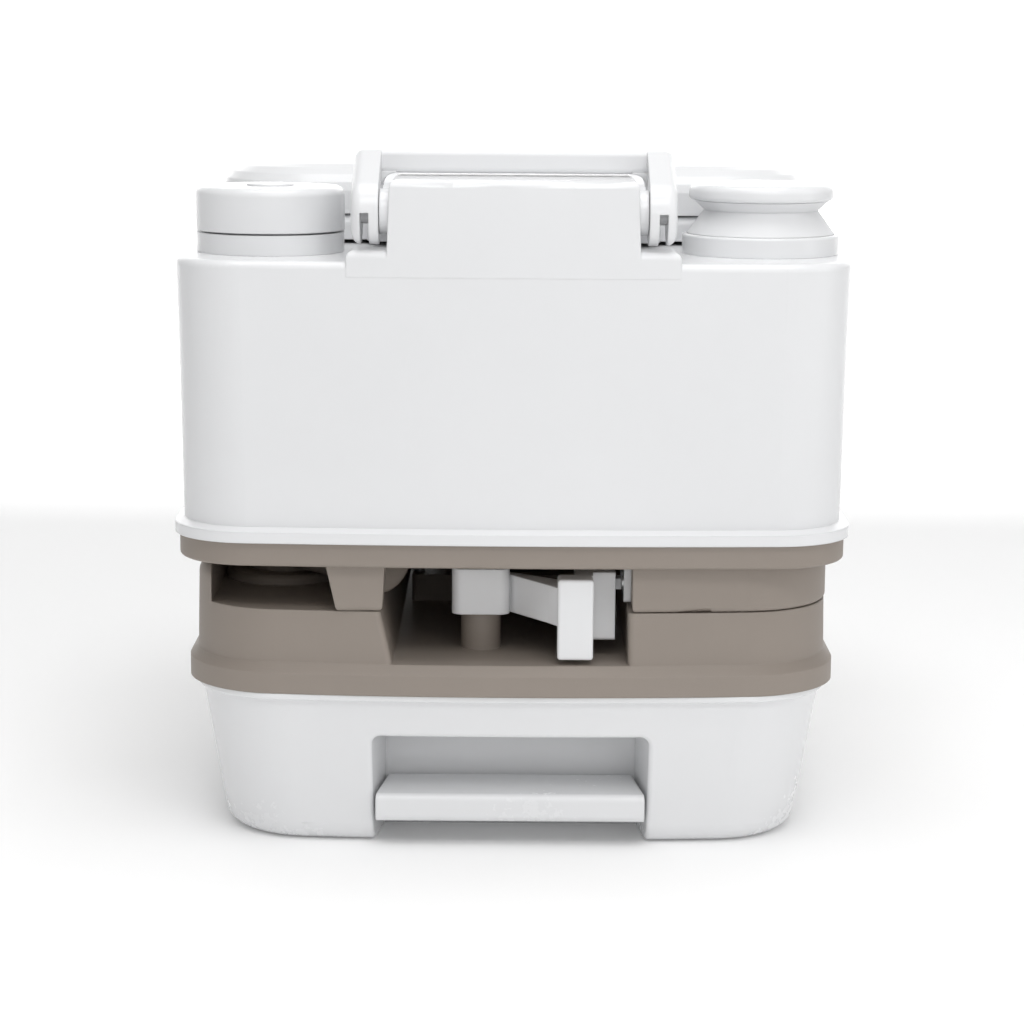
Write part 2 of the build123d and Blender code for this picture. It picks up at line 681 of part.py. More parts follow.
def latch_spring():
    """Return spring, coiled round the pivot pin inside the hub."""
    height = LATCH_SPRING_PITCH * LATCH_SPRING_TURNS
    start = HUB_Z + 2 * SPRING_WIRE
    path = Pos(LATCH_X, LATCH_Y, start) * Helix(LATCH_SPRING_PITCH, height, LATCH_SPRING_RADIUS)
    coil = sweep(Plane(origin=path @ 0, z_dir=path % 0) * Circle(SPRING_WIRE), path)
    return coil


def latch_lever():
    """Lever with a square hub, a slanting arm, an upright finger knob and a hook plate."""
    x = LATCH_X
    y = LATCH_Y
    hub = block(x - HUB_HALF, x + HUB_HALF, y - HUB_HALF, y + HUB_HALF, HUB_Z, HUB_Z + HUB_HEIGHT)
    hub = fillet(hub.edges().filter_by(Axis.Z), HUB_ROUND)
    knob_back = KNOB_FACE + KNOB_DEPTH
    arm_points = [
        (x + HUB_HALF - HUB_ROUND, y + ARM_THICK),
        (x + HUB_HALF - HUB_ROUND, y - ARM_THICK),
        (x + HUB_HALF, y - ARM_THICK - 2 * SLIP),
        (KNOB_LEFT - ARM_THICK, knob_back - ARM_THICK),
        (KNOB_LEFT, KNOB_FACE + 2 * KNOB_ROUND),
        (KNOB_RIGHT - ARM_THICK, knob_back),
    ]
    arm = prism(make_face(Polyline(*arm_points, close=True)), HUB_Z, HUB_Z + ARM_HEIGHT)
    knob = block(KNOB_LEFT, KNOB_RIGHT, KNOB_FACE, knob_back, FLOOR_Z + KNOB_FLOOR_GAP, KNOB_TOP)
    knob = fillet(knob.edges(), KNOB_ROUND)
    hook = block(KNOB_RIGHT - ARM_THICK, HOOK_RIGHT, HOOK_FRONT, HOOK_BACK, HOOK_BOTTOM, KNOB_TOP)
    web = block(KNOB_RIGHT - 2 * ARM_THICK, KNOB_RIGHT, knob_back - ARM_THICK, HOOK_BACK, HOOK_BOTTOM, KNOB_TOP)
    hook = fillet((hook + web).edges().filter_by(Axis.X).group_by(Axis.Z)[0], KNOB_ROUND)
    nose_y = (HOOK_FRONT + HOOK_BACK) / 2
    nose = block(
        HOOK_RIGHT - SLIP,
        HOOK_RIGHT + NOSE_REACH,
        nose_y - NOSE_HALF,
        nose_y + NOSE_HALF,
        NOSE_BOTTOM,
        NOSE_BOTTOM + NOSE_HEIGHT,
    )
    bore = rod(x, y, LATCH_PIN_RADIUS + RUNNING, 0, FAR)
    pocket = rod(x, y, SPRING_POCKET_RADIUS, 0, HUB_Z + SPRING_POCKET_HEIGHT)
    return hub + arm + knob + hook + nose - bore - pocket


def keeper_x():
    """X of the keeper's face on the pan's right block."""
    return CHANNEL_RIGHT + 2 * SLIP


def latch_keeper():
    """Catch plate on the pan's right block, with a window for the lever's nose."""
    y = (HOOK_FRONT + HOOK_BACK) / 2
    low = LOW_Z + 2 * SLIP
    x1 = keeper_x()
    plate = block(x1 - KEEPER_THICK, x1, y - KEEPER_HALF, y + KEEPER_HALF, low, low + KEEPER_HEIGHT)
    plate = fillet(plate.edges().filter_by(Axis.X), EDGE_ROUND)
    window = block(
        0,
        FAR,
        y - KEEPER_WINDOW_HALF,
        y + KEEPER_WINDOW_HALF,
        NOSE_BOTTOM - KEEPER_WINDOW_MARGIN,
        NOSE_BOTTOM + NOSE_HEIGHT + KEEPER_WINDOW_MARGIN,
    )
    holes = [keeper_screw(side, SCREW_RADIUS, 0) for side in (-1, 1)]
    return plate - window - holes


def keeper_screw(side, radius, head):
    """One keeper screw, lying along X."""
    y = (HOOK_FRONT + HOOK_BACK) / 2 + side * (KEEPER_HALF - SCREW_HEAD_RADIUS - SLIP / 2)
    z = LOW_Z + 2 * SLIP + KEEPER_HEIGHT / 2
    face = keeper_x() - KEEPER_THICK
    shank = cross_rod(y, z, radius, face, keeper_x() + WALL)
    if head:
        shank = shank + cross_rod(y, z, SCREW_HEAD_RADIUS, face - head, face)
    return shank


def keeper_screws():
    """The two screws of the catch plate."""
    return [keeper_screw(side, SCREW_RADIUS, SLIP) for side in (-1, 1)]


def pocket_form(grow, low, high):
    """The round-fronted pocket that the spout swings in."""
    disc = rod(SPOUT_X, SPOUT_Y, POCKET_RADIUS + grow, low, high)
    inset = 2 * (grow - 2 * WALL - SLIP)
    corner = SHELL_CORNER - 2 * WALL - SLIP + grow
    inside = prism(plan(SHELL_LOW_WIDTH + inset, SHELL_LOW_LENGTH + inset, PAN_BOW, corner), low, high)
    return disc & inside & block(-FAR, FAR, POCKET_REAR - grow, FAR, low, high)


def pan_foot():
    """Tapered foot that stands on the left shoulder."""
    low = LOW_Z + PAN_SEAT_GAP
    rear = -SHOULDER_LENGTH / 2 + SLIP
    top = make_face(
        Polyline(
            (FOOT_TOP_LEFT, rear),
            (FOOT_TOP_RIGHT, rear),
            (FOOT_TOP_RIGHT, rear + FOOT_DEPTH),
            (FOOT_TOP_LEFT, rear + FOOT_DEPTH),
            close=True,
        )
    )
    bottom = make_face(
        Polyline(
            (FOOT_BOTTOM_LEFT, rear + SLIP),
            (FOOT_BOTTOM_RIGHT, rear + SLIP),
            (FOOT_BOTTOM_RIGHT, rear + FOOT_DEPTH - SLIP),
            (FOOT_BOTTOM_LEFT, rear + FOOT_DEPTH - SLIP),
            close=True,
        )
    )
    foot = between(bottom, low, top, PAN_BOTTOM + SLIP)
    return fillet(foot.edges().group_by(Axis.Z)[0], EDGE_ROUND)


def base_pan():
    """Floor of the flush tank: a thin tray with hollow support blocks, a foot and the spout pocket."""
    rim_plan = plan(PAN_WIDTH, PAN_LENGTH, PAN_BOW, PAN_CORNER)
    rim = prism(rim_plan, PAN_BOTTOM, PAN_TOP)
    rim = fillet(rim.edges().group_by(Axis.Z)[0], PAN_RIM_ROUND)
    inner_plan = plan(SHELL_LOW_WIDTH - 2 * WALL, SHELL_LOW_LENGTH - 2 * WALL, PAN_BOW, PAN_CORNER - WALL)
    tray = prism(inner_plan, PAN_BOTTOM + WALL, PAN_TOP + SLIP)

    right_low = LOW_Z + PAN_SEAT_GAP
    block_left = keeper_x()
    right = prism(shoulder_plan(0), right_low, PAN_BOTTOM + SLIP) & block(
        block_left, FAR, -FAR, FAR, 0, FAR
    )
    right = fillet(right.edges().group_by(Axis.Z)[0], EDGE_ROUND)
    right_hollow = prism(shoulder_plan(-WALL), right_low + WALL, PAN_TOP) & block(
        block_left + WALL, FAR, -FAR, FAR, 0, FAR
    )
    pad_plan = shoulder_plan(-SHOULDER_DRAFT - SHOULDER_ROUND)
    pad = prism(pad_plan, TALL_Z + PAN_SEAT_GAP, PAN_BOTTOM + SLIP) & block(
        -FAR, CHANNEL_LEFT - 2 * SHOULDER_ROUND, PAD_REAR, FAR, 0, FAR
    )
    pocket_top = PAN_BOTTOM + POCKET_RISE
    housing = pocket_form(WALL, PAN_BOTTOM, pocket_top + WALL)
    pocket = pocket_form(0, 0, pocket_top)
    screw_holes = [keeper_screw(side, SCREW_RADIUS, 0) for side in (-1, 1)]
    outlet = rod(0, VALVE_Y, OUTLET_HOLE, 0, FAR)
    body = rim + right + pad - right_hollow - tray + housing - pocket
    return body + pan_foot() - outlet - screw_holes


def shell_form(grow):
    """The flush tank's walls, a little wider at the deck, with a cove down to the lip."""
    lip = plan(LIP_WIDTH + 2 * grow, LIP_LENGTH + 2 * grow, LIP_BOW, LIP_CORNER + grow)
    low = plan(SHELL_LOW_WIDTH + 2 * grow, SHELL_LOW_LENGTH + 2 * grow, SHELL_BOW, SHELL_CORNER + grow)
    top = plan(SHELL_TOP_WIDTH + 2 * grow, SHELL_TOP_LENGTH + 2 * grow, SHELL_BOW, SHELL_CORNER + grow)
    cove = PAN_TOP + LIP_HEIGHT
    wall_start = cove + LIP_COVE / 4
    return (
        prism(lip, PAN_TOP, cove)
        + between(lip, cove, low, wall_start)
        + between(low, wall_start, top, DECK_Z + grow)
    )


def hump_form(grow):
    """The raised middle of the rear wall, flush with the wall behind."""
    top_plan = plan(SHELL_TOP_WIDTH + 2 * grow, SHELL_TOP_LENGTH + 2 * grow, SHELL_BOW, SHELL_CORNER + grow)
    upright = prism(top_plan, DECK_Z - 2 * DECK_ROUND, HUMP_TOP + grow)
    low_half = HUMP_HALF_LOW + grow
    top_half = HUMP_HALF_TOP + grow
    section = [
        (-low_half, DECK_Z - 2 * DECK_ROUND),
        (low_half, DECK_Z - 2 * DECK_ROUND),
        (top_half, HUMP_TOP + grow),
        (-top_half, HUMP_TOP + grow),
    ]
    face = Plane.XZ * make_face(Polyline(*section, close=True))
    slab = Pos(0, HUMP_FRONT + grow, 0) * extrude(face, FAR)
    return upright & slab


def flush_tank_shell():
    """Outer shell of the flush tank, open below, with hump, plateau and deck openings."""
    walls = shell_form(0)
    walls = fillet(walls.edges().group_by(Axis.Z)[-1], DECK_ROUND)
    hump = hump_form(0)
    hump = fillet(hump.edges().group_by(Axis.Z)[-1], HUMP_ROUND)
    top_plan = plan(SHELL_TOP_WIDTH, SHELL_TOP_LENGTH, SHELL_BOW, SHELL_CORNER)
    plateau = prism(top_plan, DECK_Z - 2 * DECK_ROUND, DECK_Z + STEP_RISE) & block(
        -STEP_HALF, STEP_HALF, -FAR, STEP_BACK_EDGE, 0, FAR
    )
    plateau = fillet(plateau.edges().group_by(Axis.Z)[-1], DECK_ROUND)
    inner = prism(
        plan(SHELL_LOW_WIDTH - 2 * WALL, SHELL_LOW_LENGTH - 2 * WALL, SHELL_BOW, SHELL_CORNER - WALL),
        PAN_TOP - SLIP,
        DECK_Z - WALL,
    )
    inner = inner + hump_form(-WALL)
    pin_boss = cross_rod(HANDLE_PIVOT_Y, PIVOT_Z, HANDLE_BOSS_RADIUS, HANDLE_BOSS_INNER, inner_flange() - GAP)
    pin_bore = cross_rod(HANDLE_PIVOT_Y, PIVOT_Z, HANDLE_PIN_RADIUS, HANDLE_BOSS_INNER + WALL, FAR)
    fill_bore = rod(FILL_X, FILL_Y, FILL_BORE, 0, FAR)
    pump_hole = rod(PUMP_X, PUMP_Y, PUMP_HOLE, 0, FAR)
    bowl_hole = prism(ellipse(BOWL_HALF_WIDTH + SLIP, BOWL_HALF_LENGTH + SLIP, BOWL_Y, 0), 0, FAR)
    body = walls + hump + plateau - inner + both_sides(pin_boss) - both_sides(pin_bore)
    return body - fill_bore - pump_hole - bowl_hole


def filler_neck():
    """Filler neck welded on the deck: a wide foot and a narrower spigot for the cap."""
    foot_top = DECK_Z + FILL_NECK_HEIGHT
    foot = rod(FILL_X, FILL_Y, FILL_NECK_RADIUS - GAP, DECK_Z, foot_top)
    spigot = rod(FILL_X, FILL_Y, FILL_THREAD_RADIUS, DECK_Z, foot_top + FILL_SPIGOT_HEIGHT)
    bore = rod(FILL_X, FILL_Y, FILL_BORE, 0, FAR)
    return foot + spigot - bore


def inner_flange():
    """X of the handle's inner flange, where it faces the hump."""
    return HANDLE_HALF - 2 * FLANGE_THICK - FLANGE_SPACE


def handle_profile(grow):
    """Side view of the handle: a disc at the pivot running into the bar."""
    disc = Pos(HANDLE_PIVOT_Y, PIVOT_Z) * Circle(HANDLE_DISC_RADIUS + grow)
    low = HUMP_TOP + HANDLE_BAR_GAP
    y0 = HANDLE_BAR_REAR - grow
    y1 = HANDLE_BAR_REAR + HANDLE_BAR_DEPTH + grow
    bar = Pos((y0 + y1) / 2, low + HANDLE_BAR_HEIGHT / 2) * RectangleRounded(
        y1 - y0, HANDLE_BAR_HEIGHT + 2 * grow, HANDLE_WALL
    )
    return make_hull([*disc.edges(), *bar.edges()])


def handle_slab(profile, x0, x1):
    """A side view pulled along X."""
    return Pos(x0, 0, 0) * extrude(Plane.YZ * profile, x1 - x0)


def carry_handle():
    """Folding handle: two double-flanged arms and a bar of channel section, open below."""
    low = HUMP_TOP + HANDLE_BAR_GAP
    top = low + HANDLE_BAR_HEIGHT
    bar_front = HANDLE_BAR_REAR + HANDLE_BAR_DEPTH
    inner = inner_flange()
    arm = handle_slab(handle_profile(0), inner, HANDLE_HALF)
    bar = block(-HANDLE_HALF, HANDLE_HALF, HANDLE_BAR_REAR, bar_front, low, top)
    bar = fillet(bar.edges().filter_by(Axis.X), HANDLE_WALL)
    corner = block(
        inner - HANDLE_INNER_ROUND,
        inner + SLIP,
        HANDLE_BAR_REAR,
        bar_front,
        low - HANDLE_INNER_ROUND,
        low + SLIP,
    ) - cross_y(inner - HANDLE_INNER_ROUND, low - HANDLE_INNER_ROUND, HANDLE_INNER_ROUND)
    body = bar + both_sides(arm) + both_sides(corner)
    tops = body.edges().filter_by(Axis.Y).filter_by(lambda e: e.center().Z > top - SLIP)
    body = fillet(tops.group_by(Axis.X)[0] + tops.group_by(Axis.X)[-1], HANDLE_OUTER_ROUND)
    channel = block(
        -inner + HANDLE_INNER_ROUND,
        inner - HANDLE_INNER_ROUND,
        HANDLE_BAR_REAR + HANDLE_WALL,
        bar_front - HANDLE_WALL,
        low - SLIP,
        top - HANDLE_WALL,
    )
    slit = handle_slab(handle_profile(-HANDLE_WALL), inner + FLANGE_THICK, HANDLE_HALF - FLANGE_THICK)
    slit = slit + handle_slab(
        Pos(HANDLE_PIVOT_Y, PIVOT_Z - HANDLE_DISC_RADIUS)
        * Rectangle(2 * HANDLE_DISC_RADIUS + SLIP, 2 * HANDLE_DISC_RADIUS),
        inner + FLANGE_THICK,
        HANDLE_HALF - FLANGE_THICK,
    )
    eye = cross_rod(HANDLE_PIVOT_Y, PIVOT_Z, HANDLE_PIN_RADIUS + RUNNING, -FAR, FAR)
    return body - channel - both_sides(slit) - eye


def cross_y(x, z, radius):
    """A long cylinder along Y."""
    return Pos(x, 0, z) * Rot(90, 0, 0) * Cylinder(radius, FAR)


def handle_pivot_pins():
    """One pin in each side of the hump, through both flanges of the arm."""
    start = HANDLE_BOSS_INNER + WALL
    pin = cross_rod(HANDLE_PIVOT_Y, PIVOT_Z, HANDLE_PIN_RADIUS, start, HANDLE_HALF - SLIP)
    return both_sides(pin)


def fill_cap():
    """Round screw cap with a rolled top edge and a low centre boss."""
    low = DECK_Z + FILL_NECK_HEIGHT + FILL_CAP_SEAM
    top = low + FILL_CAP_HEIGHT
    body = rod(FILL_X, FILL_Y, FILL_NECK_RADIUS, low, top)
    body = fillet(body.edges().group_by(Axis.Z)[-1], FILL_CAP_ROUND)
    boss = rod(FILL_X, FILL_Y, FILL_CAP_BOSS_RADIUS, top - SLIP, top + FILL_CAP_BOSS_HEIGHT)
    boss = fillet(boss.edges().group_by(Axis.Z)[-1], FILL_CAP_BOSS_HEIGHT / 2)
    inside = rod(FILL_X, FILL_Y, FILL_THREAD_RADIUS + GAP, low - SLIP, top - FILL_CAP_TOP)
    return body + boss - inside


def fill_cap_gasket():
    """Rubber ring under the fill cap's top."""
    top = DECK_Z + FILL_NECK_HEIGHT + FILL_CAP_SEAM + FILL_CAP_HEIGHT - FILL_CAP_TOP
    return ring(FILL_X, FILL_Y, FILL_THREAD_RADIUS, FILL_BORE, top - FILL_GASKET, top)


def pump_collar():
    """White ring that clamps the bellows to the deck."""
    body = rod(PUMP_X, PUMP_Y, PUMP_COLLAR_RADIUS, DECK_Z, DECK_Z + PUMP_COLLAR_HEIGHT)
    body = fillet(body.edges().group_by(Axis.Z)[-1], EDGE_ROUND / 2)
    bore = rod(PUMP_X, PUMP_Y, PUMP_BELLOWS_RADIUS - PUMP_COLLAR_LIP, 0, FAR)
    chamber = rod(PUMP_X, PUMP_Y, PUMP_BELLOWS_RADIUS - PUMP_BELLOWS_WALL, 0, DECK_Z + PUMP_COLLAR_HEIGHT - WALL)
    return body - bore - chamber


def pump_base():
    """Valve plate under the bellows, with a stub down into the tank."""
    plate = rod(PUMP_X, PUMP_Y, PUMP_BASE_RADIUS, DECK_Z, DECK_Z + PUMP_BASE_HEIGHT)
    stub = rod(PUMP_X, PUMP_Y, PUMP_HOLE - GAP, DECK_Z - 2 * PUMP_BASE_HEIGHT, DECK_Z)
    ports = [
        rod(PUMP_X + side * SUCTION_OFFSET, PUMP_Y, SUCTION_RADIUS - SLIP, 0, FAR) for side in (-1, 1)
    ]
    seats = [
        rod(PUMP_X + side * SUCTION_OFFSET, PUMP_Y, SUCTION_RADIUS, 0, DECK_Z - PUMP_BASE_HEIGHT)
        for side in (-1, 1)
    ]
    return plate + stub - ports - seats


def pump_valves():
    """Two rubber flap discs over the ports of the valve plate."""
    low = DECK_Z + PUMP_BASE_HEIGHT
    return [
        rod(PUMP_X + side * SUCTION_OFFSET, PUMP_Y, VALVE_DISC_RADIUS, low, low + VALVE_DISC_HEIGHT)
        for side in (-1, 1)
    ]


def bellows_low():
    """Height at which the bellows leaves its collar."""
    return DECK_Z + PUMP_COLLAR_HEIGHT


def pump_bellows():
    """Soft bellows with one waist, thin-walled."""
    wall = PUMP_BELLOWS_WALL
    outer = [
        (PUMP_BELLOWS_RADIUS, 0),
        (PUMP_WAIST_RADIUS, PUMP_WAIST_RISE),
        (PUMP_BELLOWS_TOP_RADIUS, PUMP_BELLOWS_HEIGHT),
    ]
    inner = [(radius - 1.5 * wall, height) for radius, height in reversed(outer)]
    return turned(outer + inner, PUMP_X, PUMP_Y, bellows_low())


def pump_head():
    """Push disc with a rolled rim and a slightly dished top."""
    low = bellows_low() + PUMP_BELLOWS_HEIGHT + GAP / 3
    body = rod(PUMP_X, PUMP_Y, PUMP_HEAD_RADIUS, low, low + PUMP_HEAD_HEIGHT)
    body = fillet(body.edges().group_by(Axis.Z)[-1], PUMP_HEAD_ROUND)
    body = fillet(body.edges().group_by(Axis.Z)[0], PUMP_HEAD_ROUND / 2)
    sink = Pos(PUMP_X, PUMP_Y, low + PUMP_HEAD_HEIGHT - PUMP_HEAD_DISH) * Cone(
        PUMP_WAIST_RADIUS / 2,
        PUMP_WAIST_RADIUS,
        2 * PUMP_HEAD_DISH,
    )
    cup = rod(PUMP_X, PUMP_Y, PUMP_SPRING_RADIUS + 2 * SLIP, low - SLIP, low + WALL)
    return body - sink - cup


def pump_spring():
    """Return spring inside the bellows, from the valve plate up into the head."""
    low = DECK_Z + PUMP_BASE_HEIGHT + PUMP_SPRING_WIRE + GAP
    high = bellows_low() + PUMP_BELLOWS_HEIGHT + WALL - PUMP_SPRING_WIRE - GAP
    path = Pos(PUMP_X, PUMP_Y, low) * Helix((high - low) / PUMP_SPRING_TURNS, high - low, PUMP_SPRING_RADIUS)
    return sweep(Plane(origin=path @ 0, z_dir=path % 0) * Circle(PUMP_SPRING_WIRE), path)


def suction_tube():
    """Rigid tube from the valve plate down to the tank's floor."""
    x = PUMP_X + SUCTION_OFFSET
    low = LOW_Z + PAN_SEAT_GAP + WALL + SUCTION_FLOOR_GAP
    return ring(x, PUMP_Y, SUCTION_RADIUS, SUCTION_RADIUS - SLIP, low, DECK_Z - PUMP_BASE_HEIGHT)


def hose_route():
    """Points of the flush hose, from the valve plate to the bowl's rim."""
    x = PUMP_X - SUCTION_OFFSET
    top = DECK_Z - PUMP_BASE_HEIGHT
    low = nozzle_z()
    return [(x, PUMP_Y, top), (x, PUMP_Y, low), nozzle_start()]


def nozzle_z():
    """Height of the flush nozzle below the deck."""
    return DECK_Z - 2 * PUMP_BASE_HEIGHT - HOSE_DROP


def nozzle_start():
    """Where the hose meets the nozzle, just outside the bowl's wall."""
    x = BOWL_HALF_WIDTH / 2
    return (x, BOWL_Y - BOWL_HALF_LENGTH, nozzle_z())


def flush_hose():
    """Tube that carries the flush water to the nozzle."""
    path = FilletPolyline(*hose_route(), radius=HOSE_BEND)
    section = Plane(origin=path @ 0, z_dir=path % 0)
    outer = sweep(section * Circle(HOSE_RADIUS), path)
    inner = sweep(section * Circle(HOSE_RADIUS - SLIP), path)
    return outer - inner


def nozzle_plane():
    """Plane at the nozzle, looking along the hose's last run."""
    route = hose_route()
    run = Vector(*route[2]) - Vector(*route[1])
    return Plane(origin=route[2], z_dir=run)


def flush_nozzle():
    """Nozzle through the bowl's wall, with its slot below the rim."""
    stub = extrude(nozzle_plane() * Circle(NOZZLE_RADIUS), NOZZLE_LENGTH)
    port = extrude(nozzle_plane() * Circle(HOSE_RADIUS - SLIP), NOZZLE_LENGTH / 2)
    slot = extrude(nozzle_plane() * Rectangle(HOSE_RADIUS, HOSE_RADIUS), NOZZLE_LENGTH + SLIP)
    return stub - port - slot


def bowl_form(grow, low):
    """The bowl's tapering form down to its round outlet."""
    neck_z = DECK_Z - BOWL_NECK_DROP
    radius = OUTLET_RADIUS + grow
    sections = [
        ellipse(BOWL_HALF_WIDTH + grow, BOWL_HALF_LENGTH + grow, BOWL_Y, DECK_Z + BOWL_FLANGE_HEIGHT),
        ellipse(BOWL_MID_HALF_WIDTH + grow, BOWL_MID_HALF_LENGTH + grow, BOWL_MID_Y, DECK_Z - BOWL_MID_DROP),
        ellipse(radius - GAP, radius, VALVE_Y, neck_z),
    ]
    return loft(sections, ruled=True) + rod(0, VALVE_Y, radius, low, neck_z + SLIP)


def bowl():
    """Thin bowl with a rim flange on the deck and an outlet down to the valve."""
    outlet_low = FLOOR_Z + FRAME_HEIGHT + SEAL_HEIGHT + PAN_SEAT_GAP
    flange = prism(
        ellipse(BOWL_HALF_WIDTH + BOWL_FLANGE_WIDTH, BOWL_HALF_LENGTH + BOWL_FLANGE_WIDTH, BOWL_Y, 0),
        DECK_Z,
        DECK_Z + BOWL_FLANGE_HEIGHT,
    )
    outer = bowl_form(0, outlet_low)
    inner = bowl_form(-WALL, outlet_low - SLIP)
    nozzle_hole = extrude(nozzle_plane() * Circle(NOZZLE_RADIUS), NOZZLE_LENGTH)
    return outer + flange - inner - nozzle_hole


def bowl_gasket():
    """Rubber ring where the outlet passes through the base pan."""
    low = PAN_BOTTOM + WALL
    return ring(0, VALVE_Y, OUTLET_RADIUS + GASKET_WIDTH, OUTLET_RADIUS, low, low + GASKET_HEIGHT) + ring(
        0, VALVE_Y, OUTLET_HOLE, OUTLET_RADIUS, PAN_BOTTOM, low
    )


def seat_plan(grow):
    """The outline that the seat and the lid share: nearly straight behind, full and round in front."""
    x = SEAT_HALF_WIDTH + grow
    rear = SEAT_REAR - grow
    front = SEAT_FRONT + grow
    face = make_face(Polyline((-x, rear), (x, rear), (x, front), (-x, front), close=True))
    corners = face.vertices().group_by(Axis.Y)
    face = fillet(corners[0], SEAT_REAR_CORNER + grow)
    corners = [v for v in face.vertices() if v.Y > front - SLIP]
    return fillet(corners, SEAT_FRONT_CORNER + grow)


def tongue_plan(grow):
    """The part of the outline that reaches back between the hinges."""
    half = TONGUE_HALF + grow
    depth = SEAT_REAR_CORNER
    return Pos(0, TONGUE_REAR - grow + depth / 2) * RectangleRounded(2 * half, depth, SEAT_ROUND + LUG_RADIUS)


def lug(x0, x1, low, high):
    """Hinge knuckle from x0 to x1 with an arm forward to the panel."""
    eye = cross_rod(HINGE_Y, HINGE_Z, LUG_RADIUS, x0, x1)
    arm = block(x0, x1, HINGE_Y, TONGUE_REAR + LUG_RADIUS, low, high)
    bore = cross_rod(HINGE_Y, HINGE_Z, HINGE_PIN_RADIUS + RUNNING, x0 - SLIP, x1 + SLIP)
    return eye + arm - bore


def seat():
    """Seat ring with rounded edges and two hinge knuckles."""
    outline = seat_plan(0) + tongue_plan(0)
    hole = prism(ellipse(SEAT_HOLE_HALF_WIDTH, SEAT_HOLE_HALF_LENGTH, BOWL_Y, 0), 0, FAR)
    body = prism(outline, SEAT_Z, SEAT_Z + SEAT_THICK) - hole
    body = fillet(body.edges().group_by(Axis.Z)[-1], SEAT_ROUND)
    inner_end = HINGE_X - BRACKET_HALF - GAP
    arm = lug(inner_end - LUG_WIDTH, inner_end, HINGE_Z - LUG_RADIUS, HINGE_Z - SLIP)
    return body + both_sides(arm)


def lid():
    """Closed double-walled lid with a crowned top and two hinge knuckles."""
    low_plan = seat_plan(0) + tongue_plan(0)
    skirt = prism(low_plan, LID_Z, LID_Z + LID_SIDE)
    turns = [math.radians(90 * i / LID_CROWN_STEPS) for i in range(LID_CROWN_STEPS + 1)]
    sections = [
        Pos(0, 0, LID_Z + LID_SIDE + (LID_CROWN - LID_SIDE) * math.sin(turn))
        * seat_plan(-LID_TOP_INSET * (1 - math.cos(turn)))
        for turn in turns
    ]
    body = skirt + loft(sections, ruled=True)
    inner_end = HINGE_X + BRACKET_HALF + GAP
    arm = lug(inner_end, inner_end + LUG_WIDTH, HINGE_Z + SLIP, HINGE_Z + LUG_RADIUS)
    return body + both_sides(arm)


def hinge_brackets():
    """Two posts on the deck that carry the seat and the lid."""
    post = cross_rod(HINGE_Y, HINGE_Z, BRACKET_RADIUS, HINGE_X - BRACKET_HALF, HINGE_X + BRACKET_HALF) + block(
        HINGE_X - BRACKET_HALF,
        HINGE_X + BRACKET_HALF,
        HINGE_Y - BRACKET_RADIUS,
        HINGE_Y + BRACKET_RADIUS,
        DECK_Z,
        HINGE_Z,
    )
    bore = cross_rod(HINGE_Y, HINGE_Z, HINGE_PIN_RADIUS, 0, FAR)
    return both_sides(post - bore)


def hinge_pins():
    """One pin through each bracket and the knuckles beside it."""
    pin = cross_rod(HINGE_Y, HINGE_Z, HINGE_PIN_RADIUS, HINGE_X - HINGE_PIN_HALF, HINGE_X + HINGE_PIN_HALF)
    return both_sides(pin)


def seat_buffers():
    """Four rubber pads under the seat."""
    side = (SEAT_HALF_WIDTH + BOWL_HALF_WIDTH + BOWL_FLANGE_WIDTH) / 2
    rows = (BOWL_Y - SEAT_HOLE_HALF_LENGTH / 2, BOWL_Y + SEAT_HOLE_HALF_LENGTH / 2)
    return [
        rod(sign * side, y, BUFFER_RADIUS, DECK_Z, SEAT_Z) for sign in (-1, 1) for y in rows
    ]


PIECES = {
    "waste_tank_body": waste_tank_body,
    "waste_tank_cover": waste_tank_cover,
    "waste_tank_handle": waste_tank_handle,
    "tank_handle_pins": tank_handle_pins,
    "valve_frame": valve_frame,
    "valve_blade": valve_blade,
    "valve_pull": valve_pull,
    "valve_screws": valve_screws,
    "valve_seal": valve_seal,
    "blade_seal": blade_seal,
    "spout_collar": spout_collar,
    "spout_seal": spout_seal,
    "pour_spout": pour_spout,
    "spout_cap": spout_cap,
    "spout_cap_gasket": spout_cap_gasket,
    "latch_pivot_pin": latch_pivot_pin,
    "latch_spring": latch_spring,
    "latch_lever": latch_lever,
    "latch_keeper": latch_keeper,
    "keeper_screws": keeper_screws,
    "base_pan": base_pan,
    "flush_tank_shell": flush_tank_shell,
    "filler_neck": filler_neck,
    "carry_handle": carry_handle,
    "handle_pivot_pins": handle_pivot_pins,
    "fill_cap": fill_cap,
    "fill_cap_gasket": fill_cap_gasket,
    "pump_collar": pump_collar,
    "pump_base": pump_base,
    "pump_valves": pump_valves,
    "pump_bellows": pump_bellows,
    "pump_head": pump_head,
    "pump_spring": pump_spring,
    "suction_tube": suction_tube,
    "flush_hose": flush_hose,
    "flush_nozzle": flush_nozzle,
    "bowl": bowl,
    "bowl_gasket": bowl_gasket,
    "seat": seat,
    "lid": lid,
    "hinge_brackets": hinge_brackets,
    "hinge_pins": hinge_pins,
    "seat_buffers": seat_buffers,
}


def write_piece(name, shape):
    """Writes one piece, or a group of like pieces, as separate solids."""
    parts = shape if isinstance(shape, list) else [shape]
    solids = [solid for part in parts for solid in part.solids()]
    export_step(Compound(children=solids), f"parts/{name}.step")


os.makedirs("parts", exist_ok=True)
for piece_name, make_piece in PIECES.items():
    write_piece(piece_name, make_piece())
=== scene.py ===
import json
import math

import bpy
import numpy as np
from bpy.props import FloatProperty, FloatVectorProperty, PointerProperty
from mathutils import Matrix, Vector


